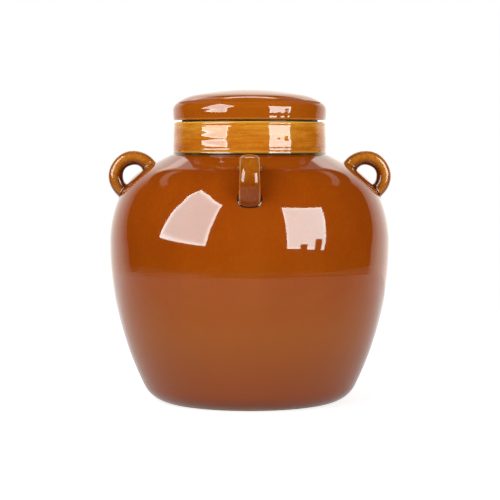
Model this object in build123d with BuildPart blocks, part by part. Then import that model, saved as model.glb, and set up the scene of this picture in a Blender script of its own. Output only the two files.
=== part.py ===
from build123d import *
from math import asin, cos, degrees, radians, sin, tan
import os

# A glazed stoneware crock fermenter: a thrown jar with a collar luted on its mouth,
# four pulled ears on its shoulder, and a plug lid that sits on a silicone ring.
# Millimetres. The origin is the centre of the foot, +Z is up, and the front is -Y.

# Jar body. Its outline is a foot corner, a lower belly arc, an upper belly arc,
# a shoulder arc and a straight shoulder, each tangent to the next.
body_radius = 109.7
belly_height = 125.1
foot_radius = 62.8
foot_corner = 23.0
upper_belly_arc = 88.0
upper_belly_turn = 26.0
shoulder_arc = 45.0
shoulder_turn = 63.0
body_wall = 8.0
floor_thickness = 10.0

# Neck collar
neck_radius = 59.5
collar_wall = 10.0
collar_height = 24.9
collar_flare = 1.6
rim_rounding = 1.5
mouth_rounding = 0.8

# Ears: a strap bent in a half ring that stands on the shoulder. The tilt sets how high
# up the shoulder an ear stands, and the front one was set a little lower by hand.
ear_count = 4
ear_tilt = 47.0
front_ear_tilt = 42.0
ear_loop_radius = 14.3
strap_width = 16.0
strap_thickness = 11.5
strap_rounding = 5.0
ear_root = 12.0

# Lid: a thick disc with a shallow dome, and a hollow spigot below it
lid_overhang = 0.7
lid_side_height = 8.0
lid_corner_arc = 7.0
lid_corner_turn = 38.0
lid_edge_arc = 34.0
lid_edge_turn = 12.0
lid_wall = 9.0
lid_foot_rounding = 1.2
spigot_wall = 5.0
spigot_length = 20.0
spigot_rounding = 1.5

# Silicone sealing ring, carried on the spigot
seal_gap = 5.0
flange_thickness = 1.4
flange_reach = 4.0
sleeve_wall = 1.6
sleeve_length = 14.0
fin_thickness = 1.2
fin_pitch = 5.0
fin_count = 2
spigot_clearance = 0.3
mouth_clearance = 0.3

# Jar outline: centres of its arcs, in radius and height
foot_corner_centre = (foot_radius, foot_corner)
belly_inset = body_radius - foot_radius
corner_drop = belly_height - foot_corner
lower_belly_arc = (belly_inset**2 + corner_drop**2 - foot_corner**2) / (2 * (belly_inset - foot_corner))
lower_belly_centre = (body_radius - lower_belly_arc, belly_height)
lower_belly_turn = degrees(asin(corner_drop / (lower_belly_arc - foot_corner)))
upper_belly_centre = (body_radius - upper_belly_arc, belly_height)
arc_step = upper_belly_arc - shoulder_arc
shoulder_centre = (
    upper_belly_centre[0] + arc_step * cos(radians(upper_belly_turn)),
    upper_belly_centre[1] + arc_step * sin(radians(upper_belly_turn)),
)
shoulder_slope = 90 - shoulder_turn

# The straight shoulder ends under the collar's flare, where the collar is seated
shoulder_top_radius = shoulder_centre[0] + shoulder_arc * cos(radians(shoulder_turn))
shoulder_top_height = shoulder_centre[1] + shoulder_arc * sin(radians(shoulder_turn))
collar_foot_radius = neck_radius + collar_flare
mouth_radius = neck_radius - collar_wall
collar_seat = shoulder_top_height + (shoulder_top_radius - collar_foot_radius) * tan(radians(shoulder_slope))
rim_height = collar_seat + collar_height
lid_radius = neck_radius + lid_overhang
lid_underside = rim_height + flange_thickness
lid_corner_height = lid_underside + lid_side_height


def arc_along(centre, radius, start_turn, end_turn):
    """An arc about a centre, between two angles above the horizontal."""
    CenterArc(centre, radius, start_turn, end_turn - start_turn)


def jar_outline(inset):
    """The jar's outer profile, moved inwards by an even inset, without its top."""
    Line((0, inset), (foot_radius, inset))
    arc_along(foot_corner_centre, foot_corner - inset, -90, -lower_belly_turn)
    arc_along(lower_belly_centre, lower_belly_arc - inset, -lower_belly_turn, 0)
    arc_along(upper_belly_centre, upper_belly_arc - inset, 0, upper_belly_turn)
    arc_along(shoulder_centre, shoulder_arc - inset, upper_belly_turn, shoulder_turn)


def shoulder_end(inset):
    """Where the shoulder arc, moved inwards by an inset, meets the straight shoulder."""
    reach = shoulder_arc - inset
    along = shoulder_centre[0] + reach * cos(radians(shoulder_turn))
    up = shoulder_centre[1] + reach * sin(radians(shoulder_turn))
    return along, up


# The jar's outer form as a solid, which the ears are also fitted to
with BuildPart() as jar_form:
    with BuildSketch(Plane.XZ):
        with BuildLine():
            jar_outline(0)
            Polyline(shoulder_end(0), (collar_foot_radius, collar_seat), (0, collar_seat), (0, 0))
        make_face()
    revolve(axis=Axis.Z)

# The hollow, an even wall inside that form, closed by a flat floor
inner_shoulder = shoulder_end(body_wall)
inner_neck_height = inner_shoulder[1] + (inner_shoulder[0] - mouth_radius) * tan(radians(shoulder_slope))
with BuildPart() as jar_hollow:
    with BuildSketch(Plane.XZ):
        with BuildLine():
            jar_outline(body_wall)
            Polyline(
                inner_shoulder,
                (mouth_radius, inner_neck_height),
                (mouth_radius, collar_seat),
                (0, collar_seat),
                (0, body_wall),
            )
        make_face()
    revolve(axis=Axis.Z)
    split(bisect_by=Plane.XY.offset(floor_thickness), keep=Keep.TOP)

with BuildPart() as jar_body:
    add(jar_form.part)
    add(jar_hollow.part, mode=Mode.SUBTRACT)

# The collar: a thrown ring with a small concave flare where it is luted to the shoulder
with BuildPart() as neck_collar:
    with BuildSketch(Plane.XZ):
        with BuildLine():
            Polyline(
                (neck_radius, collar_seat + collar_flare),
                (neck_radius, rim_height),
                (mouth_radius, rim_height),
                (mouth_radius, collar_seat),
                (collar_foot_radius, collar_seat),
            )
            CenterArc((collar_foot_radius, collar_seat + collar_flare), collar_flare, 180, 90)
        make_face()
    revolve(axis=Axis.Z)
    rim_edges = neck_collar.edges().filter_by(GeomType.CIRCLE).group_by(Axis.Z)[-1].sort_by(SortBy.RADIUS)
    fillet(rim_edges[0], mouth_rounding)
    fillet(rim_edges[-1], rim_rounding)

# The ears, each in the upright plane of its own direction


def ear_plane(direction, tilt):
    """The plane of an ear's loop: its y points out of the shoulder, its x down the slope."""
    out = Vector(cos(radians(direction)), sin(radians(direction)), 0)
    up = Vector(0, 0, 1)
    down_slope = out * sin(radians(tilt)) - up * cos(radians(tilt))
    off_shoulder = out * cos(radians(tilt)) + up * sin(radians(tilt))
    loop_distance = shoulder_centre[0] + shoulder_arc * cos(radians(tilt))
    loop_height = shoulder_centre[1] + shoulder_arc * sin(radians(tilt))
    return Plane(out * loop_distance + up * loop_height, down_slope, down_slope.cross(off_shoulder))


ear_names = ["ear_right", "ear_back", "ear_left", "ear_front"]
ears = []
for number, ear_name in enumerate(ear_names):
    tilt = front_ear_tilt if ear_name == "ear_front" else ear_tilt
    loop_plane = ear_plane(number * 360 / ear_count, tilt)
    with BuildPart() as ear:
        with BuildLine(loop_plane) as loop:
            Line((-ear_loop_radius, -ear_root), (-ear_loop_radius, 0))
            CenterArc((0, 0), ear_loop_radius, 180, -180)
            Line((ear_loop_radius, 0), (ear_loop_radius, -ear_root))
        with BuildSketch(Plane(loop.line @ 0, loop_plane.x_dir, loop.line % 0)):
            RectangleRounded(strap_thickness, strap_width, strap_rounding)
        sweep()
        add(jar_form.part, mode=Mode.SUBTRACT)
    ear.part.label = ear_name
    ears.append(ear)

# The lid disc: an upright side, a tight corner, a soft edge and a shallow dome
corner_turn = radians(lid_corner_turn)
edge_turn = radians(lid_edge_turn)
corner_centre = (lid_radius - lid_corner_arc, lid_corner_height)
edge_centre = (
    corner_centre[0] - (lid_edge_arc - lid_corner_arc) * sin(corner_turn),
    corner_centre[1] - (lid_edge_arc - lid_corner_arc) * cos(corner_turn),
)
dome_rim = (
    edge_centre[0] + lid_edge_arc * sin(edge_turn),
    edge_centre[1] + lid_edge_arc * cos(edge_turn),
)
dome_arc = dome_rim[0] / sin(edge_turn)
dome_centre = (0, dome_rim[1] - dome_arc * cos(edge_turn))
lid_top = dome_centre[1] + dome_arc
spigot_radius = mouth_radius - seal_gap
hollow_radius = spigot_radius - spigot_wall
ceiling_arc = dome_arc - lid_wall
ceiling_turn = degrees(asin(hollow_radius / ceiling_arc))
ceiling_edge = dome_centre[1] + ceiling_arc * cos(radians(ceiling_turn))

with BuildPart() as lid_disc:
    with BuildSketch(Plane.XZ):
        with BuildLine():
            Polyline(
                (hollow_radius, ceiling_edge),
                (hollow_radius, lid_underside),
                (lid_radius, lid_underside),
                (lid_radius, lid_corner_height),
            )
            arc_along(corner_centre, lid_corner_arc, 0, 90 - lid_corner_turn)
            arc_along(edge_centre, lid_edge_arc, 90 - lid_corner_turn, 90 - lid_edge_turn)
            arc_along(dome_centre, dome_arc, 90 - lid_edge_turn, 90)
            Line((0, lid_top), (0, lid_top - lid_wall))
            arc_along(dome_centre, ceiling_arc, 90, 90 - ceiling_turn)
        make_face()
    revolve(axis=Axis.Z)
    lid_foot_edges = lid_disc.edges().filter_by(GeomType.CIRCLE).group_by(Axis.Z)[0].sort_by(SortBy.RADIUS)
    fillet(lid_foot_edges[-1], lid_foot_rounding)

# The spigot: a ring luted to the underside of the disc, which keeps the lid in the mouth
with BuildPart() as lid_spigot:
    with BuildSketch(Plane.XY.offset(lid_underside - spigot_length)):
        Circle(spigot_radius)
        Circle(hollow_radius, mode=Mode.SUBTRACT)
    extrude(amount=spigot_length)
    fillet(lid_spigot.edges().group_by(Axis.Z)[0], spigot_rounding)

# The sealing ring: a sleeve round the spigot, a flange under the lid, and fins to the mouth
sleeve_bore = spigot_radius + spigot_clearance
sleeve_outside = sleeve_bore + sleeve_wall
fin_radius = mouth_radius - mouth_clearance
with BuildPart() as lid_gasket:
    with BuildSketch(Plane.XY.offset(rim_height)):
        Circle(mouth_radius + flange_reach)
        Circle(sleeve_bore, mode=Mode.SUBTRACT)
    extrude(amount=flange_thickness)
    with BuildSketch(Plane.XY.offset(rim_height)):
        Circle(sleeve_outside)
        Circle(sleeve_bore, mode=Mode.SUBTRACT)
    extrude(amount=-sleeve_length)
    for fin in range(1, fin_count + 1):
        with BuildSketch(Plane.XY.offset(rim_height - fin * fin_pitch)):
            Circle(fin_radius)
            Circle(sleeve_bore, mode=Mode.SUBTRACT)
        extrude(amount=-fin_thickness)

os.makedirs("parts", exist_ok=True)
jar_body.part.label = "jar_body"
export_step(jar_body.part, "parts/jar_body.step")
neck_collar.part.label = "neck_collar"
export_step(neck_collar.part, "parts/neck_collar.step")
for ear in ears:
    export_step(ear.part, f"parts/{ear.part.label}.step")
lid_disc.part.label = "lid_disc"
export_step(lid_disc.part, "parts/lid_disc.step")
lid_spigot.part.label = "lid_spigot"
export_step(lid_spigot.part, "parts/lid_spigot.step")
lid_gasket.part.label = "lid_gasket"
export_step(lid_gasket.part, "parts/lid_gasket.step")

print(f"overall: {2 * body_radius:.1f} wide, {lid_top:.1f} high")
print(f"rim at {rim_height:.2f}, collar seat at {collar_seat:.2f}, lid underside at {lid_underside:.2f}")
side_plane = ear_plane(0, ear_tilt)
print(f"side ear loop centre at radius {side_plane.origin.X:.2f}, height {side_plane.origin.Z:.2f}")
print(f"brimful to the collar seat: {jar_hollow.part.volume / 1e6:.2f} litres")
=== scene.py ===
import math
import bpy
import numpy as np
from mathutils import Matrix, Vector


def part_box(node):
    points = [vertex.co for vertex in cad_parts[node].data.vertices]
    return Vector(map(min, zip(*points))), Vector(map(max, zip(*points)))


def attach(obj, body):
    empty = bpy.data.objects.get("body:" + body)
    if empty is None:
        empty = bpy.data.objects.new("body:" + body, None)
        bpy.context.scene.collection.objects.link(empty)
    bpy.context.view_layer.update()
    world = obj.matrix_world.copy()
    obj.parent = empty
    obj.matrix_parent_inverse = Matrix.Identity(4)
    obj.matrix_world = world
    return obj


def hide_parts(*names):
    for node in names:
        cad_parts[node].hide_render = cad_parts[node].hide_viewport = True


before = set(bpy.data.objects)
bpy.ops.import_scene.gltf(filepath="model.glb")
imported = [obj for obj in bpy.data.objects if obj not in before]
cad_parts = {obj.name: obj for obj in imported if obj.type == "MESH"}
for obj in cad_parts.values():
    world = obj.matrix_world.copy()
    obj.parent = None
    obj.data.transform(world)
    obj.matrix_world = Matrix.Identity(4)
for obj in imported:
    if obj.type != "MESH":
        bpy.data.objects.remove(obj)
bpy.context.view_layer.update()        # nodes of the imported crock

print("frame loaded:", len(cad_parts), "nodes")


# Measures shared by the pieces, in metres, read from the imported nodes
def reach(node):  # largest distance of a node from the upright axis
    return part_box(node)[1].x


def low(node):
    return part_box(node)[0].z


def high(node):
    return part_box(node)[1].z


seatHeight = low("neck_collar")
rimHeight = high("neck_collar")
lidUnderside = low("lid_disc")


# ---- surfaces
# Points on a circular arc: centre plus radius times (cosine, sine) of evenly spaced angles in degrees.
def arc(centre, radius, fromAngle, toAngle, count):
    turn = np.radians(np.linspace(fromAngle, toAngle, count))
    return np.stack([centre[0] + radius * np.cos(turn), centre[1] + radius * np.sin(turn)], 1)


# Evenly spaced points on a straight run, both ends included.
def run(start, end, count):
    share = np.linspace(0, 1, count)[:, None]
    return np.array(start) * (1 - share) + np.array(end) * share


# Joins stretches of a profile and drops points that repeat the one before.
def join(*stretches):
    points = np.concatenate(stretches)
    step = np.hypot(*np.diff(points, axis=0).T)
    return points[np.concatenate([[True], step > 1e-7])]


# Turns a (radius, height) profile about the upright axis: x = r cos a, y = r sin a, z = h.
# offset(angle, radius, height) is added to the radius, so a form can be a little out of round.
def turned(profile, around, offset=None):
    angle = np.linspace(0, 2 * np.pi, around, endpoint=False)[None, :]
    radius, height = profile[:, :1], profile[:, 1:]
    if offset is not None:
        radius = radius + offset(angle, radius, height) * (radius > 1e-6)
    return np.stack([radius * np.cos(angle), radius * np.sin(angle), height + 0 * angle], 2)


# The four corners of each cell of a grid of numbered points.
def gridCells(index):
    return np.stack([index[:-1, :-1], index[:-1, 1:], index[1:, 1:], index[1:, :-1]], 2)


# Makes a closed mesh of a grid of points. Columns always close on themselves. Rows close too
# when wrap is set, and otherwise the first and the last row are drawn together to one point each.
def surface(name, points, material, wrap=False, masks=None):
    rows, columns = points.shape[:2]
    index = np.arange(rows * columns).reshape(rows, columns)
    flat = points.reshape(-1, 3).copy()
    if not wrap:
        flat[index[0]] = points[0].mean(0)
        flat[index[-1]] = points[-1].mean(0)
        index[0] = index[0, 0]
        index[-1] = index[-1, 0]
    below = np.concatenate([index, index[:1]]) if wrap else index
    a, b = below[:-1], below[1:]
    corners = np.stack([a, np.roll(a, -1, 1), np.roll(b, -1, 1), b], 2).reshape(-1, 4)
    used, corners = np.unique(corners, return_inverse=True)
    corners = corners.reshape(-1, 4)
    flat = flat[used]
    p = flat[corners]
    volume = np.einsum("ij,ij->i", p[:, 0], np.cross(p[:, 1] - p[:, 0], p[:, 2] - p[:, 0]))
    volume += np.einsum("ij,ij->i", p[:, 0], np.cross(p[:, 2] - p[:, 0], p[:, 3] - p[:, 0]))
    if volume.sum() < 0:
        corners = corners[:, ::-1]
    repeated = corners == np.roll(corners, -1, 1)  # at a pole, a cell has one corner twice
    folded = repeated.any(1)
    quads = corners[~folded]
    triangles = corners[folded][~repeated[folded]].reshape(-1, 3)
    mesh = bpy.data.meshes.new(name)
    mesh.from_pydata(flat.tolist(), [], quads.tolist() + triangles.tolist())
    mesh.polygons.foreach_set("use_smooth", np.ones(len(mesh.polygons), bool))
    for label, values in (masks or {}).items():
        attribute = mesh.attributes.new(label, "FLOAT", "POINT")
        spread = np.broadcast_to(values, (rows, columns)).reshape(-1)[used]
        attribute.data.foreach_set("value", spread.astype(np.float32))
    mesh.materials.append(material)
    mesh.update()
    piece = bpy.data.objects.new(name, mesh)
    bpy.context.scene.collection.objects.link(piece)
    print("made", name, len(mesh.polygons), "faces")
    return piece


# Rises smoothly from 0 to 1 between two values.
def ease(value, start, end):
    share = np.clip((value - start) / (end - start), 0, 1)
    return share * share * (3 - 2 * share)


# Throwing rings: a few sine waves up the wall, each leaning a little round the pot, as a hand leaves them.
def throwingRings(spacings, depth, seed):
    dice = np.random.default_rng(seed)
    waves = [(s, dice.uniform(0, 6.28), dice.uniform(0.3, 1.2), dice.uniform(0, 6.28)) for s in spacings]

    def offset(angle, radius, height):
        total = 0 * angle * height
        for spacing, phase, lean, turn in waves:
            total = total + np.sin(2 * np.pi * height / spacing + phase + lean * np.sin(angle + turn))
        return depth * total / len(waves)
    return offset


# ---- shader maths
class Wire:  # a socket that can be used in arithmetic; each operator adds one Math node
    def __init__(self, tree, socket):
        self.tree = tree
        self.socket = socket

    def maths(self, operation, *values, clamp=False):
        node = self.tree.nodes.new("ShaderNodeMath")
        node.operation = operation
        node.use_clamp = clamp
        for place, value in enumerate(values):
            connect(self.tree, node.inputs[place], value)
        return Wire(self.tree, node.outputs[0])

    def __add__(self, other):
        return self.maths("ADD", self, other)

    __radd__ = __add__

    def __mul__(self, other):
        return self.maths("MULTIPLY", self, other)

    __rmul__ = __mul__

    def __sub__(self, other):
        return self.maths("SUBTRACT", self, other)

    def __rsub__(self, other):
        return self.maths("SUBTRACT", other, self)

    def __truediv__(self, other):
        return self.maths("DIVIDE", self, other)

    def __abs__(self):
        return self.maths("ABSOLUTE", self)

    def root(self):
        return self.maths("SQRT", self)

    def upTo(self, other):
        return self.maths("MINIMUM", self, other)

    def atLeast(self, other):
        return self.maths("MAXIMUM", self, other)

    def within(self, start, end):  # 0 at start, 1 at end, held outside
        return self.maths("DIVIDE", self - start, end - start, clamp=True)


def connect(tree, socket, value):
    if isinstance(value, Wire):
        tree.links.new(value.socket, socket)
    elif isinstance(value, (tuple, list)) and len(value) == 3 and socket.type == "RGBA":
        socket.default_value = (*value, 1)
    else:
        socket.default_value = value


class Shader:  # one material's or world's node tree
    def __init__(self, owner):
        owner.use_nodes = True
        self.tree = owner.node_tree
        self.tree.nodes.clear()

    def node(self, kind, settings=None, out=0, **sockets):
        made = self.tree.nodes.new("ShaderNode" + kind)
        for name, value in (settings or {}).items():
            setattr(made, name, value)
        for name, value in sockets.items():
            key = int(name[1:]) if name[0] == "_" else name.replace("_", " ")
            connect(self.tree, made.inputs[key], value)
        return Wire(self.tree, made.outputs[out])

    def place(self):
        return self.node("TexCoord", out="Object")

    def split(self, vector):
        made = self.node("SeparateXYZ", Vector=vector).socket.node
        return [Wire(self.tree, made.outputs[axis]) for axis in range(3)]

    def noise(self, vector, scale, detail=3.0, roughness=0.5):
        return self.node("TexNoise", Vector=vector, Scale=scale, Detail=detail, Roughness=roughness)

    def stretch(self, vector, factors):  # multiplies a vector's parts, which draws a pattern out along one
        return self.node("VectorMath", {"operation": "MULTIPLY"}, _0=vector, _1=factors)

    def mask(self, name):
        return self.node("Attribute", {"attribute_name": name}, out="Fac")

    def mix(self, factor, first, second):
        return self.node("Mix", {"data_type": "RGBA"}, out=2, _0=factor, _6=first, _7=second)

    def finish(self, surfaceWire, kind="OutputMaterial"):
        output = self.tree.nodes.new("ShaderNode" + kind)
        self.tree.links.new(surfaceWire.socket, output.inputs["Surface"])


# ---- glaze
glaze = {
    "ior": 1.5,
    "roughness": 0.03,
    "roughnessSpread": 0.03,
    "bare": (0.60, 0.44, 0.27),
    "bareDark": (0.42, 0.28, 0.16),
    "grain": 0.45,
    "specks": 0.30,
    "ripple": 0.35,
    # near-black crease colour: thick glaze pooled in the joints, and painted shade there
    "creaseGlazeAndShade": (0.035, 0.006, 0.004),
    "speck": (0.20, 0.028, 0.0015),
    "rippleDepth": 0.00006,
}


# A clear gloss over a coloured body: the colour follows how thick the glaze lies. It is thin and pale on
# edges, where some pale lines are painted highlight, and dark in creases, which is partly thick glaze and
# partly painted shade; it drifts slowly over the wall and carries fine specks. facts is the piece's
# dictionary, drawn stretches the drift along an axis, extra adds what only this piece has, and ridges adds to
# its relief.
def glazeMaterial(name, facts, drawn=(1, 1, 0.35), mottle=0.5, extra=None, ridges=None):
    colour, thinGlazeAndHighlight, deepGlazeAndShade = facts["colour"], facts["thinGlazeAndHighlight"], facts["deepGlazeAndShade"]
    material = bpy.data.materials.new(name)
    shader = Shader(material)
    place = shader.place()
    drift = shader.noise(shader.stretch(place, drawn), 34.0, 4.0, 0.55).within(0.36, 0.66)
    cloud = shader.noise(place, 110.0, 3.0, 0.6).within(0.35, 0.7)
    grain = shader.noise(place, 380.0, 4.0, 0.7).within(0.38, 0.64)
    speck = shader.noise(place, 900.0, 2.0, 0.5).within(0.58, 0.75)
    tone = shader.mix(drift * mottle + cloud * (mottle * 0.35), colour, deepGlazeAndShade)
    tone = shader.mix(grain * glaze["grain"], tone, deepGlazeAndShade)
    tone = shader.mix(speck * glaze["specks"], tone, glaze["speck"])
    # pale edges: thin glaze, and painted highlight along the ears' outer edges
    tone = shader.mix(shader.mask("thinGlazeAndHighlight") * (0.75 + 0.25 * cloud), tone, thinGlazeAndHighlight)
    # dark creases: partly thick glaze, partly painted shade
    tone = shader.mix(shader.mask("creaseGlazeAndShade"), tone, glaze["creaseGlazeAndShade"])
    rough = glaze["roughness"] + glaze["roughnessSpread"] * cloud
    if extra is not None:
        tone, rough = extra(shader, place, tone, rough)
    ripple = shader.noise(place, 60.0, 2.0, 0.4) + 0.12 * shader.noise(place, 420.0, 2.0, 0.5)
    if ridges is not None:
        ripple = ripple + ridges(shader, place)
    bump = shader.node("Bump", Strength=glaze["ripple"], Distance=glaze["rippleDepth"], Height=ripple)
    gloss = shader.node("BsdfPrincipled", Base_Color=tone, Roughness=rough, Normal=bump, IOR=glaze["ior"])
    shader.finish(gloss)
    return material


# ---- neck collar: its measures, which the jar's top also needs
collar = {
    "wall": 0.010,
    "flare": 0.0016,
    "flareHeight": 0.0036,
    "taper": 0.0008,
    "rimRound": 0.0015,
    "mouthRound": 0.0008,
    "grooveBelowRim": 0.0030,
    "grooveWidth": 0.0008,
    "grooveDepth": 0.00020,
    "lowGrooveAbove": 0.0008,
    "lowGrooveWidth": 0.0006,
    "lowGrooveShare": 0.8,
    "ringDepth": 0.00004,
    "dentDepth": 0.00007,
    "colour": (0.80, 0.315, 0.016),
    "thinGlazeAndHighlight": (0.95, 0.56, 0.070),
    "deepGlazeAndShade": (0.48, 0.105, 0.0035),
}


# ---- jar body
jar = {
    "footRadius": 0.0628,
    "footCorner": 0.023,
    "bellyHeight": 0.1251,
    "upperBellyArc": 0.088,
    "upperBellyTurn": 26,
    "shoulderArc": 0.045,
    "shoulderTurn": 63,
    "wall": 0.008,
    "floor": 0.010,
    "glazeLine": 0.0019,
    "ridges": 7.0,
    "ridgesFrom": (0.099, 0.104),
    "ridgesTo": (0.110, 0.115),
    "lowFrom": (0.05, 0.125),
    "footShadeFrom": (0.01, 0.06),
    "slowWaves": (0.00012, 0.00008),
    "ringSpacings": (0.037, 0.023, 0.0145),
    "ringDepth": 0.00004,
    "colour": (0.385, 0.072, 0.0020),
    "thinGlazeAndHighlight": (0.55, 0.17, 0.012),
    "deepGlazeAndShade": (0.300, 0.046, 0.0016),
    "low": (0.372, 0.094, 0.0026),
}
bodyRadius = reach("jar_body")
collarFoot = reach("neck_collar")
lowerReach = bodyRadius - jar["footRadius"]
lowerDrop = jar["bellyHeight"] - jar["footCorner"]
lowerArc = lowerReach ** 2 + lowerDrop ** 2 - jar["footCorner"] ** 2
lowerArc = lowerArc / (2 * (lowerReach - jar["footCorner"]))
lowerTurn = math.degrees(math.asin(lowerDrop / (lowerArc - jar["footCorner"])))
upperCentre = (bodyRadius - jar["upperBellyArc"], jar["bellyHeight"])
arcStep = jar["upperBellyArc"] - jar["shoulderArc"]
shoulderCentre = (
    upperCentre[0] + arcStep * math.cos(math.radians(jar["upperBellyTurn"])),
    upperCentre[1] + arcStep * math.sin(math.radians(jar["upperBellyTurn"])),
)


# The wall's outline at an even inset: foot corner, lower belly, upper belly and shoulder arcs.
def jarOutline(inset, counts):
    footCentre = (jar["footRadius"], jar["footCorner"])
    lowerCentre = (bodyRadius - lowerArc, jar["bellyHeight"])
    return join(
        arc(footCentre, jar["footCorner"] - inset, -90, -lowerTurn, counts[0]),
        arc(lowerCentre, lowerArc - inset, -lowerTurn, 0, counts[1]),
        arc(upperCentre, jar["upperBellyArc"] - inset, 0, jar["upperBellyTurn"], counts[2]),
        arc(shoulderCentre, jar["shoulderArc"] - inset, jar["upperBellyTurn"], jar["shoulderTurn"],
            counts[3]),
    )


# Ears: tilt is how high up the shoulder one stands, in degrees about the shoulder arc's centre. The front one
# stands a little lower than the others.
ear = {
    "tilt": 47,
    "frontTilt": 42,
    "loopRadius": 0.0143,
    "width": 0.0160,
    "thickness": 0.0115,
    "rounding": 0.0050,
    "root": 0.0075,
    "flare": 0.0014,
    "squareness": 2.7,
    "colour": (0.40, 0.092, 0.0030),
    "thinGlazeAndHighlight": (0.66, 0.25, 0.030),
    "deepGlazeAndShade": (0.22, 0.030, 0.0015),
    "gold": (0.62, 0.215, 0.012),
    "fleck": (0.16, 0.020, 0.0012),
    "loopShade": (0.085, 0.010, 0.0015),
    "slimming": (0.03, 0.02),
    "narrowing": (0.05, 0.015),
}


def loopMiddle(tilt):  # radius and height of the middle of an ear's loop
    turn = math.radians(tilt)
    return (shoulderCentre[0] + jar["shoulderArc"] * math.cos(turn),
            shoulderCentre[1] + jar["shoulderArc"] * math.sin(turn))


# Folded to one quarter, a point of the jar has an along-slope and a sideways distance from the loop's middle.
# The result is its distance from the outline of the nearer foot of the ear.
def feetGap(shader, place, tilt):
    x, y, z = shader.split(place)
    turn, middle = math.radians(tilt), loopMiddle(tilt)
    out = abs(x).atLeast(abs(y)) - middle[0]
    side = abs(x).upTo(abs(y))
    along = abs(out * math.sin(turn) - (z - middle[1]) * math.cos(turn))
    across = (abs(along - ear["loopRadius"]) - (ear["thickness"] / 2 - ear["rounding"])).atLeast(0)
    sideways = (side - (ear["width"] / 2 - ear["rounding"])).atLeast(0)
    return (across * across + sideways * sideways).root() - ear["rounding"]


# Bare clay below a slightly uneven glaze line, a warmer tone on the lower belly, a faint pale streak below
# the front ear, painted shade darkening the wall towards the foot and round the ears' feet and the collar,
# and a dark line at those joints that is partly thick glaze and partly painted shade.
def jarFinish(shader, place, tone, rough):
    x, y, z = shader.split(place)
    front = (0 - y - abs(x)).within(0, 0.0001)
    gap = feetGap(shader, place, ear["frontTilt"]) * front + feetGap(shader, place, ear["tilt"]) * (1 - front)
    neckGap = (x * x + y * y).root() - collarFoot
    # painted shade: a dark line hugging the ears' feet and the collar's foot, also thick glaze, and a wider
    # darkening round them
    creaseGlazeAndShade = (1 - gap.within(0.0004, 0.0012)).atLeast(1 - neckGap.within(0.0024, 0.0042))
    jointShade = ((1 - gap.within(0.0, 0.016)) * 0.75).atLeast((1 - neckGap.within(0.006, 0.024)) * 0.8)
    tone = shader.mix((1 - z.within(*jar["lowFrom"])) * 0.8, tone, jar["low"])
    # painted shade: darker towards the foot
    tone = shader.mix((1 - z.within(*jar["footShadeFrom"])) * 0.7, tone, jar["deepGlazeAndShade"])
    # painted shade round the ears' feet and the collar
    tone = shader.mix(jointShade, tone, jar["deepGlazeAndShade"])
    streak = (1 - abs(x - 0.002).within(0.004, 0.022)) * front
    streak = streak * z.within(0.06, 0.11) * (1 - z.within(0.158, 0.164))
    tone = shader.mix(streak * 0.10, tone, jar["thinGlazeAndHighlight"])
    # dark joint line: thick glaze and painted shade
    tone = shader.mix(creaseGlazeAndShade * 0.9, tone, glaze["creaseGlazeAndShade"])
    line = shader.noise(place, 55.0, 2.0, 0.5) * 0.0016 + (jar["glazeLine"] - 0.0008)
    bare = 1 - (z - line).within(0.0, 0.0003)
    lip = (1 - (z - line).within(0.0003, 0.0014)) * 0.8
    tone = shader.mix(lip, tone, jar["thinGlazeAndHighlight"])
    grain = shader.noise(place, 700.0, 3.0, 0.6).within(0.3, 0.75)
    clay = shader.mix(grain * 0.35, glaze["bare"], glaze["bareDark"])
    return shader.mix(bare, tone, clay), rough + bare * 0.6


# Fine ridges round the belly where the thrower's fingers paused: noise drawn out round the pot, in one band.
def jarRidges(shader, place):
    x, y, z = shader.split(place)
    lines = shader.noise(shader.stretch(place, (1, 1, 26)), 14.0, 3.0, 0.6)
    return lines * (z.within(*jar["ridgesFrom"]) * (1 - z.within(*jar["ridgesTo"]))) * jar["ridges"]


jarGlaze = glazeMaterial("jarGlaze", jar, extra=jarFinish, ridges=jarRidges)

outside = jarOutline(0, (36, 76, 30, 34))
inside = jarOutline(jar["wall"], (14, 34, 14, 14))
inside = inside[inside[:, 1] > jar["floor"]]
mouthRadius = collarFoot - collar["flare"] - collar["wall"]
slope = math.tan(math.radians(90 - jar["shoulderTurn"]))
neckUnderside = inside[-1, 1] + (inside[-1, 0] - mouthRadius) * slope
jarProfile = join(
    run((0, 0), (jar["footRadius"], 0), 8),
    outside,
    run(outside[-1], (collarFoot, seatHeight), 8),
    run((collarFoot, seatHeight), (mouthRadius, seatHeight), 4),
    run((mouthRadius, seatHeight), (mouthRadius, neckUnderside), 3),
    run((mouthRadius, neckUnderside), inside[-1], 5),
    inside[::-1],
    run((inside[0, 0], jar["floor"]), (0, jar["floor"]), 10),
)
jarRings = throwingRings(jar["ringSpacings"], jar["ringDepth"], 3)


# A few slow waves round the belly and the rings, both fading out at the foot and at the collar's seat.
def jarOffset(angle, radius, height):
    twofold, threefold = jar["slowWaves"]
    wave = twofold * np.sin(2 * angle + 0.7) + threefold * np.sin(3 * angle + 25 * height)
    fade = ease(height, 0.004, 0.03) * (1 - ease(height, seatHeight - 0.02, seatHeight - 0.002))
    return (wave + jarRings(angle, radius, height)) * fade


jarBody = surface("jarBody", turned(jarProfile, 352, jarOffset), jarGlaze, masks={"thinGlazeAndHighlight": 0.0, "creaseGlazeAndShade": 0.0})
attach(jarBody, "jar")
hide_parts("jar_body")


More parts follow.
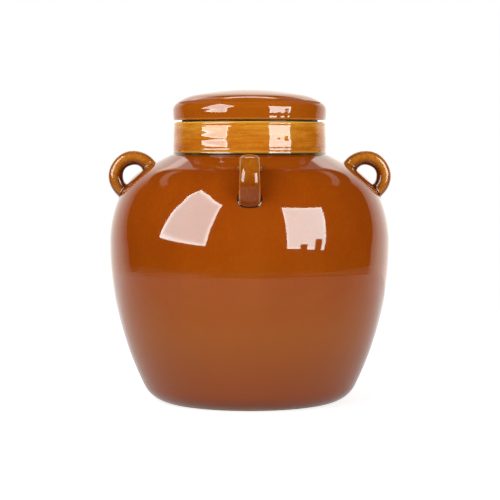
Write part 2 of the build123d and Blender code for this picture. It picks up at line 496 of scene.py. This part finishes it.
# ---- neck collar
collarRadius = collarFoot - collar["flare"]
flareTop = seatHeight + collar["flareHeight"]
collarProfile = join(
    run((mouthRadius, seatHeight), (collarFoot, seatHeight), 6),
    arc((0, 0), 1, 270, 180, 16) * (collar["flare"], collar["flareHeight"]) + (collarFoot, flareTop),
    run((collarRadius, flareTop), (collarRadius, rimHeight - collar["rimRound"]), 90),
    arc((collarRadius - collar["rimRound"], rimHeight - collar["rimRound"]), collar["rimRound"], 0, 90, 9),
    run((collarRadius - collar["rimRound"], rimHeight), (mouthRadius + collar["mouthRound"], rimHeight), 5),
    arc((mouthRadius + collar["mouthRound"], rimHeight - collar["mouthRound"]),
        collar["mouthRound"], 90, 180, 6),
    run((mouthRadius, rimHeight - collar["mouthRound"]), (mouthRadius, seatHeight), 20),
)[:-1]
collarRings = throwingRings((0.0083, 0.0049), collar["ringDepth"], 11)


# A slight taper, rings and dents left by the fingers, and a shallow groove below the rim and above the
# flare, on the outside only. A groove is a bell curve: e to the minus (distance over width) squared.
def collarOffset(angle, radius, height):
    outer = ease(radius, collarRadius - 0.003, collarRadius - 0.001)
    share = (height - seatHeight) / (rimHeight - seatHeight)
    fade = ease(share, 0.10, 0.25) * (1 - ease(share, 0.93, 0.99))
    groove = np.exp(-((height - rimHeight + collar["grooveBelowRim"]) / collar["grooveWidth"]) ** 2)
    above = (height - flareTop - collar["lowGrooveAbove"]) / collar["lowGrooveWidth"]
    groove = groove + collar["lowGrooveShare"] * np.exp(-above ** 2)
    taper = collar["taper"] * (1 - share) * ease(share, 0.0, 0.15)
    dents = np.sin(11 * angle + 300 * height + 0.4) + np.sin(17 * angle - 420 * height + 2.1)
    dents = dents + np.sin(7 * angle + 610 * height + 1.3)
    shape = collarRings(angle, radius, height) + collar["dentDepth"] * dents / 3
    return outer * (taper + fade * shape - collar["grooveDepth"] * groove)


# Brushed bands: noise drawn out round the collar, so it changes quickly with height and slowly with angle.
def collarFinish(shader, place, tone, rough):
    x, y, z = shader.split(place)
    bands = shader.noise(shader.stretch(place, (1, 1, 14)), 26.0, 4.0, 0.6).within(0.36, 0.64)
    fine = shader.noise(shader.stretch(place, (1, 1, 9)), 120.0, 3.0, 0.6).within(0.35, 0.68)
    height = (z - seatHeight) / (rimHeight - seatHeight)
    lower = (1 - height.within(0.12, 0.75)) * 0.8
    blotch = shader.noise(shader.stretch(place, (1, 1, 3)), 45.0, 3.0, 0.6).within(0.40, 0.66)
    tone = shader.mix(blotch * 0.40, tone, collar["thinGlazeAndHighlight"])
    tone = shader.mix(bands * 0.50 + fine * 0.25 + lower * 0.5, tone, collar["deepGlazeAndShade"])
    # pale thin glaze on the rim's top edge; the fainter pale band low down at the flare is painted highlight
    edge = height.within(0.945, 0.985).atLeast((1 - height.within(0.06, 0.14)) * 0.45)
    tone = shader.mix(edge, tone, collar["thinGlazeAndHighlight"])
    # dark collar foot under the flare: thick glaze and painted shade
    tone = shader.mix(1 - height.within(0.02, 0.075), tone, glaze["creaseGlazeAndShade"])
    return tone, rough + 0.02 * fine


collarGlaze = glazeMaterial("collarGlaze", collar, drawn=(1, 1, 3), mottle=0.25, extra=collarFinish)
neckCollar = surface("neckCollar", turned(collarProfile, 384, collarOffset), collarGlaze, wrap=True,
                     masks={"thinGlazeAndHighlight": 0.0, "creaseGlazeAndShade": 0.0})
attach(neckCollar, "jar")
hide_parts("neck_collar")


# ---- ears
# A strap carried along a half ring with two straight legs. Its section is a squared-off oval:
# (cos, sin) of an angle, each raised to 2 / squareness. It grows a little thinner and narrower towards the
# loop's top, unevenly, and near the shoulder it spreads by a quarter round.
def earPoints(direction, tilt, seed):
    dice = np.random.default_rng(seed)
    tiltTurn, loop = math.radians(tilt), loopMiddle(tilt)
    steps = 150
    legShare = ear["root"] / (2 * ear["root"] + np.pi * ear["loopRadius"])
    share = np.linspace(0, 1, steps)
    turn = np.pi * np.clip((share - legShare) / (1 - 2 * legShare), 0, 1)
    legs = ear["root"] * (np.clip(1 - share / legShare, 0, 1) + np.clip(1 - (1 - share) / legShare, 0, 1))
    middle = np.stack([-ear["loopRadius"] * np.cos(turn), ear["loopRadius"] * np.sin(turn) - legs], 1)
    outwards = np.stack([-np.cos(turn), np.sin(turn)], 1)
    sweep = np.linspace(0, 2 * np.pi, 72, endpoint=False)[None, :]
    power = 2 / ear["squareness"]
    thick = np.sign(np.cos(sweep)) * np.abs(np.cos(sweep)) ** power
    wide = np.sign(np.sin(sweep)) * np.abs(np.sin(sweep)) ** power
    lift = np.sin(turn)[:, None]
    unevenThick = ear["slimming"][1] * np.sin(5 * turn + dice.uniform(0, 6))[:, None]
    unevenWide = ear["narrowing"][1] * np.sin(4 * turn + dice.uniform(0, 6))[:, None]
    halfThick = ear["thickness"] / 2 * (1 - ear["slimming"][0] * lift + unevenThick)
    halfWide = ear["width"] / 2 * (1 - ear["narrowing"][0] * lift + unevenWide)
    across = halfThick * thick
    side = halfWide * wide
    along = middle[:, None, 0] + outwards[:, None, 0] * across
    off = middle[:, None, 1] + outwards[:, None, 1] * across

    def shoulderGap(along, off, side):
        out = loop[0] + along * math.sin(tiltTurn) + off * math.cos(tiltTurn)
        up = loop[1] - along * math.cos(tiltTurn) + off * math.sin(tiltTurn)
        return np.hypot(np.hypot(out, side) - shoulderCentre[0], up - shoulderCentre[1]) - jar["shoulderArc"]

    rise = np.clip(1 - shoulderGap(along, off, side) / ear["flare"], 0, 1)
    spread = ear["flare"] * (1 - np.sqrt(1 - rise ** 2 + 1e-9))
    length = np.hypot(across, side) + 1e-9
    along = along + spread * outwards[:, None, 0] * across / length
    off = off + spread * outwards[:, None, 1] * across / length
    side = side + spread * side / length
    out = loop[0] + along * math.sin(tiltTurn) + off * math.cos(tiltTurn)
    up = loop[1] - along * math.cos(tiltTurn) + off * math.sin(tiltTurn)
    c, s = math.cos(direction), math.sin(direction)
    points = np.stack([out * c - side * s, out * s + side * c, up], 2)
    caps = [np.zeros_like(end) + end.mean(1, keepdims=True) for end in (points[:1], points[-1:])]
    gap = shoulderGap(along, off, side)
    # dark line where the strap meets the shoulder: thick glaze and painted shade
    creaseGlazeAndShade = 1 - ease(gap, 0.0004, 0.0012)
    every = np.ones_like(along)
    # pale side edges on the strap's outer half: thin glaze, and painted highlight
    thinGlazeAndHighlight = 0.8 * ease(np.abs(wide * every), 0.80, 0.98) * ease(thick * every, -0.6, 0.2) * (1 - creaseGlazeAndShade)
    # painted shade on the strap's inner side, facing the loop's middle and the shoulder
    deepGlazeAndShade = ease(-thick * every, -0.1, 0.8) * 0.8
    thinGlazeAndHighlight, creaseGlazeAndShade, deepGlazeAndShade = (np.concatenate([v[:1], v, v[-1:]]) for v in (thinGlazeAndHighlight, creaseGlazeAndShade, deepGlazeAndShade))
    return np.concatenate([caps[0], points, caps[1]]), {"thinGlazeAndHighlight": thinGlazeAndHighlight, "creaseGlazeAndShade": creaseGlazeAndShade, "deepGlazeAndShade": deepGlazeAndShade}


# The glaze has run thin and golden off the top of each strap. It is flecked, and darker inside the loop,
# where painted shade stands for the shade between strap and shoulder.
def earFinish(shader, place, tone, rough):
    fleck = shader.noise(place, 420.0, 3.0, 0.65).within(0.42, 0.68)
    x, y, z = shader.split(place)
    tone = shader.mix(z.within(0.168, 0.188) * 0.40, tone, ear["gold"])
    tone = shader.mix(fleck * 0.38, tone, ear["fleck"])
    # painted shade inside the loop
    return shader.mix(shader.mask("deepGlazeAndShade"), tone, ear["loopShade"]), rough


earGlaze = glazeMaterial("earGlaze", ear, drawn=(1, 1, 1), mottle=0.6, extra=earFinish)
for order, node in enumerate(("ear_right", "ear_back", "ear_left", "ear_front")):
    lowest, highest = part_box(node)
    middle = (lowest + highest) / 2
    tilt = ear["frontTilt"] if node == "ear_front" else ear["tilt"]
    points, masks = earPoints(math.atan2(middle.y, middle.x), tilt, 20 + order)
    strap = surface("strap" + node[4:].title(), points, earGlaze, masks=masks)
    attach(strap, "jar")
    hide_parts(node)


# ---- lid
lid = {
    "cornerArc": 0.007,
    "cornerTurn": 38,
    "edgeArc": 0.034,
    "edgeTurn": 12,
    "footRound": 0.0012,
    "barrel": 0.00040,
    "ceiling": 0.009,
    "ringDepth": 0.00003,
    "colour": (0.475, 0.112, 0.0040),
    "thinGlazeAndHighlight": (0.62, 0.22, 0.018),
    "deepGlazeAndShade": (0.375, 0.078, 0.0024),
}
spigot = {"wall": 0.005, "round": 0.0014, "lineDepth": 0.0003}
lidRadius = reach("lid_disc")
spigotRadius = reach("lid_spigot")
hollowRadius = spigotRadius - spigot["wall"]
cornerTurn, edgeTurn = math.radians(lid["cornerTurn"]), math.radians(lid["edgeTurn"])
edgeInner = lidRadius - lid["cornerArc"] * (1 - math.sin(cornerTurn))
edgeInner = edgeInner - lid["edgeArc"] * (math.sin(cornerTurn) - math.sin(edgeTurn))
domeArc = edgeInner / math.sin(edgeTurn)
lidTop = high("lid_disc")
domeCentre = (0, lidTop - domeArc)
edgeCentre = (edgeInner - lid["edgeArc"] * math.sin(edgeTurn),
              domeCentre[1] + (domeArc - lid["edgeArc"]) * math.cos(edgeTurn))
cornerCentre = (edgeCentre[0] + (lid["edgeArc"] - lid["cornerArc"]) * math.sin(cornerTurn),
                edgeCentre[1] + (lid["edgeArc"] - lid["cornerArc"]) * math.cos(cornerTurn))
ceilingArc = domeArc - lid["ceiling"]
ceilingTurn = math.degrees(math.asin(hollowRadius / ceilingArc))
ceiling = arc(domeCentre, ceilingArc, 90, 90 - ceilingTurn, 16)
lidProfile = join(
    ceiling,
    run(ceiling[-1], (hollowRadius, lidUnderside), 8),
    run((hollowRadius, lidUnderside), (lidRadius - lid["footRound"], lidUnderside), 12),
    arc((lidRadius - lid["footRound"], lidUnderside + lid["footRound"]), lid["footRound"], -90, 0, 9),
    run((lidRadius, lidUnderside + lid["footRound"]), (lidRadius, cornerCentre[1]), 24),
    arc(cornerCentre, lid["cornerArc"], 0, 90 - lid["cornerTurn"], 26),
    arc(edgeCentre, lid["edgeArc"], 90 - lid["cornerTurn"], 90 - lid["edgeTurn"], 20),
    arc(domeCentre, domeArc, 90 - lid["edgeTurn"], 90, 34),
)
lidProfile[0, 0] = lidProfile[-1, 0] = 0
lidRings = throwingRings((0.0061, 0.0037), lid["ringDepth"], 5)


# Rings and dents on the rim, which draws in a little towards its foot, and a slow wave all over the disc.
def lidOffset(angle, radius, height):
    outer = ease(radius, lidRadius - 0.004, lidRadius - 0.001)
    dents = np.sin(13 * angle + 350 * height) + np.sin(8 * angle - 520 * height + 1.7)
    tuck = ease(height, cornerCentre[1] - 0.002, lidUnderside) * lid["barrel"]
    wave = 0.00010 * np.sin(2 * angle + 1.1) * ease(radius, 0.03, 0.06)
    return outer * (lidRings(angle, radius, height) + 0.00002 * dents - tuck) + wave


# Brushed bands, and thin pale glaze at the rim's foot.
def lidFinish(shader, place, tone, rough):
    x, y, z = shader.split(place)
    height = (z - lidUnderside) / (cornerCentre[1] - lidUnderside)
    bands = shader.noise(shader.stretch(place, (1, 1, 10)), 30.0, 4.0, 0.6).within(0.38, 0.64)
    tone = shader.mix(bands * 0.35, tone, lid["deepGlazeAndShade"])
    foot = (1 - height.within(0.06, 0.22)) * 0.7
    tone = shader.mix(foot, tone, lid["thinGlazeAndHighlight"])
    return tone, rough


lidGlaze = glazeMaterial("lidGlaze", lid, drawn=(1, 1, 2), mottle=0.4, extra=lidFinish)
lidDisc = surface("lidDisc", turned(lidProfile, 384, lidOffset), lidGlaze, masks={"thinGlazeAndHighlight": 0.0, "creaseGlazeAndShade": 0.0})
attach(lidDisc, "lid")
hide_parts("lid_disc")


# ---- lid spigot, bare clay with fine turning lines
spigotFoot = low("lid_spigot")
spigotBore = spigotRadius - spigot["wall"]
edge = spigot["round"]
spigotProfile = join(
    run((spigotBore, lidUnderside), (spigotBore, spigotFoot + edge), 24),
    arc((spigotBore + edge, spigotFoot + edge), edge, 180, 270, 7),
    run((spigotBore + edge, spigotFoot), (spigotRadius - edge, spigotFoot), 5),
    arc((spigotRadius - edge, spigotFoot + edge), edge, 270, 360, 7),
    run((spigotRadius, spigotFoot + edge), (spigotRadius, lidUnderside), 30),
    run((spigotRadius, lidUnderside), (spigotBore, lidUnderside), 5),
)[:-1]


# Bare fired clay: grainy and cloudy, with fine turning lines in its relief.
def clayMaterial(name):
    material = bpy.data.materials.new(name)
    shader = Shader(material)
    place = shader.place()
    grain = shader.noise(place, 700.0, 3.0, 0.6).within(0.3, 0.75)
    cloud = shader.noise(place, 60.0, 4.0, 0.6).within(0.35, 0.7)
    tone = shader.mix(grain * 0.35 + cloud * 0.3, glaze["bare"], glaze["bareDark"])
    lines = shader.noise(shader.stretch(place, (1, 1, 20)), 60.0, 3.0, 0.6) + grain * 0.3
    bump = shader.node("Bump", Strength=0.6, Distance=spigot["lineDepth"], Height=lines)
    shader.finish(shader.node("BsdfPrincipled", Base_Color=tone, Roughness=0.62 + 0.2 * grain, Normal=bump))
    return material


bareClay = clayMaterial("bareClay")
lidSpigot = surface("lidSpigot", turned(spigotProfile, 288), bareClay, wrap=True)
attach(lidSpigot, "lid")
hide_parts("lid_spigot")


# ---- sealing ring: flange, sleeve and two fins with soft tips
seal = {
    "flange": 0.0014,
    "sleeveWall": 0.0016,
    "finThick": 0.0012,
    "finPitch": 0.005,
    "fins": 2,
    "clearance": 0.0003,
    # dark colour, which also stands in for the shade in the gap under the lid
    "colour": (0.105, 0.062, 0.042),
    "dust": (0.17, 0.115, 0.085),
}
sealOuter = reach("lid_gasket")
sealFoot = low("lid_gasket")
sealBore = spigotRadius + seal["clearance"]
sleeve = sealBore + seal["sleeveWall"]
finReach = mouthRadius - seal["clearance"]
soft = seal["flange"] / 2
stretches = [
    run((sealBore, sealFoot), (sealBore, lidUnderside), 24),
    run((sealBore, lidUnderside), (sealOuter - soft, lidUnderside), 10),
    arc((sealOuter - soft, lidUnderside - soft), soft, 90, -90, 11),
    run((sealOuter - soft, rimHeight), (sleeve, rimHeight), 8),
]
for fin in range(1, seal["fins"] + 1):
    finTop = rimHeight - fin * seal["finPitch"]
    tip = seal["finThick"] / 2
    stretches.append(run((sleeve, finTop + 0.001), (sleeve, finTop), 3))
    stretches.append(arc((finReach - tip, finTop - tip), tip, 90, -90, 9))
    stretches.append(run((sleeve, finTop - seal["finThick"]), (sleeve, finTop - seal["finThick"] - 0.001), 3))
stretches.append(run((sleeve, sealFoot), (sealBore, sealFoot), 3))
sealProfile = join(*stretches)[:-1]


# Dark brown silicone, nearly even, a little dusty, with a soft sheen; its darkness also paints the shade in
# the gap under the lid.
def siliconeMaterial(name):
    material = bpy.data.materials.new(name)
    shader = Shader(material)
    place = shader.place()
    dust = shader.noise(place, 240.0, 3.0, 0.6).within(0.4, 0.75)
    cloud = shader.noise(place, 40.0, 3.0, 0.5).within(0.35, 0.7)
    tone = shader.mix(dust * 0.3 + cloud * 0.4, seal["colour"], seal["dust"])
    bump = shader.node("Bump", Strength=0.3, Distance=0.0001, Height=dust)
    shader.finish(shader.node("BsdfPrincipled", Base_Color=tone, Roughness=0.34 + 0.16 * dust, Normal=bump))
    return material


silicone = siliconeMaterial("silicone")
lidGasket = surface("lidGasket", turned(sealProfile, 288), silicone, wrap=True)
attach(lidGasket, "seal")
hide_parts("lid_gasket")


# ---- stage: a round white table top, whose edge shows in the glaze
table = {
    "radius": 0.69,
    "middle": 0.165,
    "albedo": 0.5,
    "glow": 0.80,
    "mirroredGlow": 0.070,
    "mirroredFar": 0.85,
}
angle = np.linspace(0, 2 * np.pi, 128, endpoint=False)
rimX, rimY = table["radius"] * np.cos(angle), table["middle"] + table["radius"] * np.sin(angle)
rimPoints = np.stack([rimX, rimY, 0 * angle], 1)
tableMesh = bpy.data.meshes.new("tableTop")
tableMesh.from_pydata(rimPoints.tolist(), [], [list(range(len(rimPoints)))])
tableTop = bpy.data.objects.new("tableTop", tableMesh)
bpy.context.scene.collection.objects.link(tableTop)


def seenDirectly(shader):  # 1 for rays from the camera, from gloss and through glass
    rays = shader.tree.nodes.new("ShaderNodeLightPath")
    camera, glossy, clear = (Wire(shader.tree, rays.outputs[name])
                             for name in ("Is Camera Ray", "Is Glossy Ray", "Is Transmission Ray"))
    return camera, glossy.atLeast(clear)


tableWhite = bpy.data.materials.new("tableWhite")
shader = Shader(tableWhite)
camera, mirrored = seenDirectly(shader)
x, y, z = shader.split(shader.place())
far = (y - 0.35 * abs(x)).within(-0.25, 0.25)  # the table is brighter in gloss towards its back
mirroredGlow = table["mirroredGlow"] + (table["mirroredFar"] - table["mirroredGlow"]) * far
level = table["glow"] * camera + mirroredGlow * mirrored
glow = shader.node("Emission", Color=shader.mix(level, (0, 0, 0), (1, 1, 1)))
cloth = shader.node("BsdfDiffuse", Color=(table["albedo"],) * 3)
shader.finish(shader.node("AddShader", _0=cloth, _1=glow))
tableMesh.materials.append(tableWhite)


# ---- world: white to the camera, soft fill on matt surfaces, and a studio in reflections. A white backdrop
# stands behind the crock up to backdropTop and is dimmer towards its front edges: backdropFront gives its
# level there, what the right side adds, and what the next two stretches inwards add. Above it are a dim strip
# on either side, and a bright bar on two posts in the middle. The room in front is dark. Angles are in
# degrees, side 180 is straight behind the crock.
studio = {
    "fill": 0.46,
    "fillBelow": 0.25,
    "room": 0.012,
    "backdrop": 1.38,
    "backdropFront": (0.26, 0.20, 0.38, 0.24),
    "backdropSide": 119,
    "backdropLean": 0.5,
    "backdropTop": 32,
    "backdropClimb": 9,
    "stripSide": (113, 152),
    "stripRise": (41, 46),
    "strip": 0.65,
    "barRise": (50.5, 56.2),
    "bar": 4.6,
    "postRise": (29, 50),
    "postSide": (157, 165),
    "postLeft": 0.85,
    "postRight": 0.35,
    "tint": (1, 0.97, 0.90),
}
world = bpy.data.worlds.new("studio")
bpy.context.scene.world = world
shader = Shader(world)
x, y, z = shader.split(shader.node("TexCoord", out="Generated"))
degree = 180 / math.pi
side = abs(x).maths("ARCTAN2", abs(x), 0 - y) * degree
rise = z.maths("ARCSINE", z) * degree
behind = (side - 150).within(0, 30)
edge = side - (rise * studio["backdropLean"] + studio["backdropSide"])
over = rise - behind * studio["backdropClimb"] - studio["backdropTop"]
base, onRight, near, further = studio["backdropFront"]
backdrop = base + onRight * x.within(-0.1, 0.1) + near * edge.within(2, 12) + further * edge.within(12, 30)
backdrop = backdrop * edge.within(-0.6, 0.6) * (1 - over.within(-0.8, 0.8)) * studio["backdrop"]


def band(value, limits, soft):  # 1 between two limits, 0 outside
    return (value - limits[0]).within(-soft, soft) * (1 - (value - limits[1]).within(-soft, soft))


strip = band(side, studio["stripSide"], 3) * band(rise, studio["stripRise"], 0.7) * studio["strip"]
bar = (side - 163).within(-3, 3) * band(rise, studio["barRise"], 0.7) * studio["bar"]
post = band(side, studio["postSide"], 1.5) * band(rise, studio["postRise"], 1)
post = post * (studio["postLeft"] + (studio["postRight"] - studio["postLeft"]) * x.within(-0.01, 0.01))
mirrorLight = studio["room"] + backdrop + strip + bar + post
fill = studio["fillBelow"] + (studio["fill"] - studio["fillBelow"]) * (rise.within(-4, 4))
camera, mirrored = seenDirectly(shader)
level = (fill * (1 - mirrored) + mirrorLight * mirrored) * (1 - camera) + camera
shade = shader.mix(mirrored, (1, 1, 1), studio["tint"])
shader.finish(shader.node("Background", Color=shade, Strength=level), "OutputWorld")


# ---- lights
# Where a direction points: azimuth turns from the camera's side towards +X, elevation is above level.
def heading(azimuth, elevation):
    a, e = math.radians(azimuth), math.radians(elevation)
    return np.array([math.sin(a) * math.cos(e), -math.cos(a) * math.cos(e), math.sin(e)])


aim = np.array([0, -0.09, 0.15])
lamps = [
    {"name": "leftLamp", "azimuth": -48, "elevation": 24, "distance": 1.3, "size": 0.9, "power": 10.5},
    {"name": "rightLamp", "azimuth": 44, "elevation": 5, "distance": 1.3, "size": 0.8, "power": 8.3},
    {"name": "topLamp", "azimuth": 170, "elevation": 78, "distance": 1.2, "size": 0.9, "power": 0.5},
]
for facts in lamps:
    light = bpy.data.lights.new(facts["name"], "AREA")
    light.size = facts["size"]
    light.energy = facts["power"]
    lamp = bpy.data.objects.new(facts["name"], light)
    bpy.context.scene.collection.objects.link(lamp)
    toLamp = heading(facts["azimuth"], facts["elevation"])
    lamp.location = aim + toLamp * facts["distance"]
    lamp.rotation_euler = Vector(toLamp).to_track_quat("Z", "Y").to_euler()
    lamp.visible_glossy = False


def glossOnly(thing):  # seen by reflections and by nothing else
    thing.visible_camera = False
    thing.visible_diffuse = False
    thing.visible_shadow = False
    thing.visible_transmission = False
    thing.visible_volume_scatter = False


# Reflector cards give the lamps' bright shapes in the glaze, and light nothing else. Each is a curved patch
# between four (azimuth, elevation) corners seen from the crock: low left, low right, high right, high left.
# It glows most along its rim. gaps are (left, right, bottom, top) shares of the patch that are left out.
cardTint = (0.88, 1.0, 0.97)
cardDistance = 2.2
cards = [
    {"name": "leftCard", "strength": 17.4, "middle": 0.60, "rim": 0.10, "gaps": [],
     "corners": [(-78.5, 4.9), (-36.1, -0.8), (-27, 40.1), (-63.8, 54.6)]},
    {"name": "rightCard", "strength": 16.5, "middle": 0.80, "rim": 0.08,
     "gaps": [(0.73, 0.91, 0.0, 0.27), (0.34, 0.52, 0.0, 0.12)],
     "corners": [(30.3, -3.9), (62.5, -5.2), (69.5, 30.3), (30.5, 36.4)]},
]
for facts in cards:
    count = 56
    u, v = np.meshgrid(np.linspace(0, 1, count), np.linspace(0, 1, count))
    weights = np.stack([(1 - u) * (1 - v), u * (1 - v), u * v, (1 - u) * v], 2)
    azimuth, elevation = np.moveaxis(np.radians(weights @ np.array(facts["corners"], float)), 2, 0)
    across = np.cos(elevation)
    sight = np.stack([np.sin(azimuth) * across, -np.cos(azimuth) * across, np.sin(elevation)], 2)
    nearEdge = np.minimum(np.minimum(u, 1 - u), np.minimum(v, 1 - v))
    level = 1 - (1 - facts["middle"]) * ease(nearEdge, 0, facts["rim"])
    cells = gridCells(np.arange(count * count).reshape(count, count))
    middleU, middleV = (u[:-1, :-1] + u[1:, 1:]) / 2, (v[:-1, :-1] + v[1:, 1:]) / 2
    keep = np.ones(middleU.shape, bool)
    for left, right, bottom, top in facts["gaps"]:
        keep &= ~((middleU > left) & (middleU < right) & (middleV > bottom) & (middleV < top))
    mesh = bpy.data.meshes.new(facts["name"])
    mesh.from_pydata((aim + cardDistance * sight).reshape(-1, 3).tolist(), [], cells[keep].tolist())
    levels = mesh.attributes.new("level", "FLOAT", "POINT")
    levels.data.foreach_set("value", level.reshape(-1).astype(np.float32))
    material = bpy.data.materials.new(facts["name"] + "Glow")
    shader = Shader(material)
    tone = shader.mix(shader.mask("level"), (0, 0, 0), cardTint)
    shader.finish(shader.node("Emission", Color=tone, Strength=facts["strength"]))
    mesh.materials.append(material)
    card = bpy.data.objects.new(facts["name"], mesh)
    bpy.context.scene.collection.objects.link(card)
    glossOnly(card)


# A flag keeps the cards' glare off the lid's dome when it is seen from behind: part of an upright cylinder,
# x = r sin a, y = -r cos a, round the lid's front half. Only gloss sees it, and only from the lid's side. It
# is lifted with the lid but doesn't turn with it.
flag = {"clearance": 0.0015, "below": 0.004, "above": 0.10, "halfTurn": 100, "level": 0.2}
turn = np.radians(np.linspace(-flag["halfTurn"], flag["halfTurn"], 81))
turn, share = np.meshgrid(turn, np.linspace(0, 1, 2))
flagRadius = lidRadius + flag["clearance"]
flagHeight = lidTop - flag["below"] + share * (flag["above"] + flag["below"])
flagPoints = np.stack([flagRadius * np.sin(turn), -flagRadius * np.cos(turn), flagHeight], 2).reshape(-1, 3)
cells = gridCells(np.arange(len(flagPoints)).reshape(turn.shape)).reshape(-1, 4)
flagMesh = bpy.data.meshes.new("lidFlag")
flagMesh.from_pydata(flagPoints.tolist(), [], cells.tolist())
flagCloth = bpy.data.materials.new("flagCloth")
shader = Shader(flagCloth)
inward = shader.node("NewGeometry", out="Backfacing")
dull = shader.node("Emission", Color=(flag["level"],) * 3)
clear = shader.node("BsdfTransparent")
shader.finish(shader.node("MixShader", _0=inward, _1=clear, _2=dull))
flagMesh.materials.append(flagCloth)
lidFlag = bpy.data.objects.new("lidFlag", flagMesh)
bpy.context.scene.collection.objects.link(lidFlag)
glossOnly(lidFlag)
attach(lidFlag, "seal")
print("lights, cards and flag placed")


# ---- camera
view = {"distance": 1.4, "height": 0.197, "downTilt": 3.21, "lens": 127.9, "right": 0.0002}
cameraData = bpy.data.cameras.new("camera")
cameraData.lens = view["lens"]
cameraData.sensor_width = 36
cameraData.clip_end = 20
cameraObject = bpy.data.objects.new("camera", cameraData)
bpy.context.scene.collection.objects.link(cameraObject)
cameraObject.location = (view["right"], -view["distance"], view["height"])
cameraObject.rotation_euler = (math.radians(90 - view["downTilt"]), 0, 0)
bpy.context.scene.camera = cameraObject
bpy.context.scene.view_settings.view_transform = "Standard"
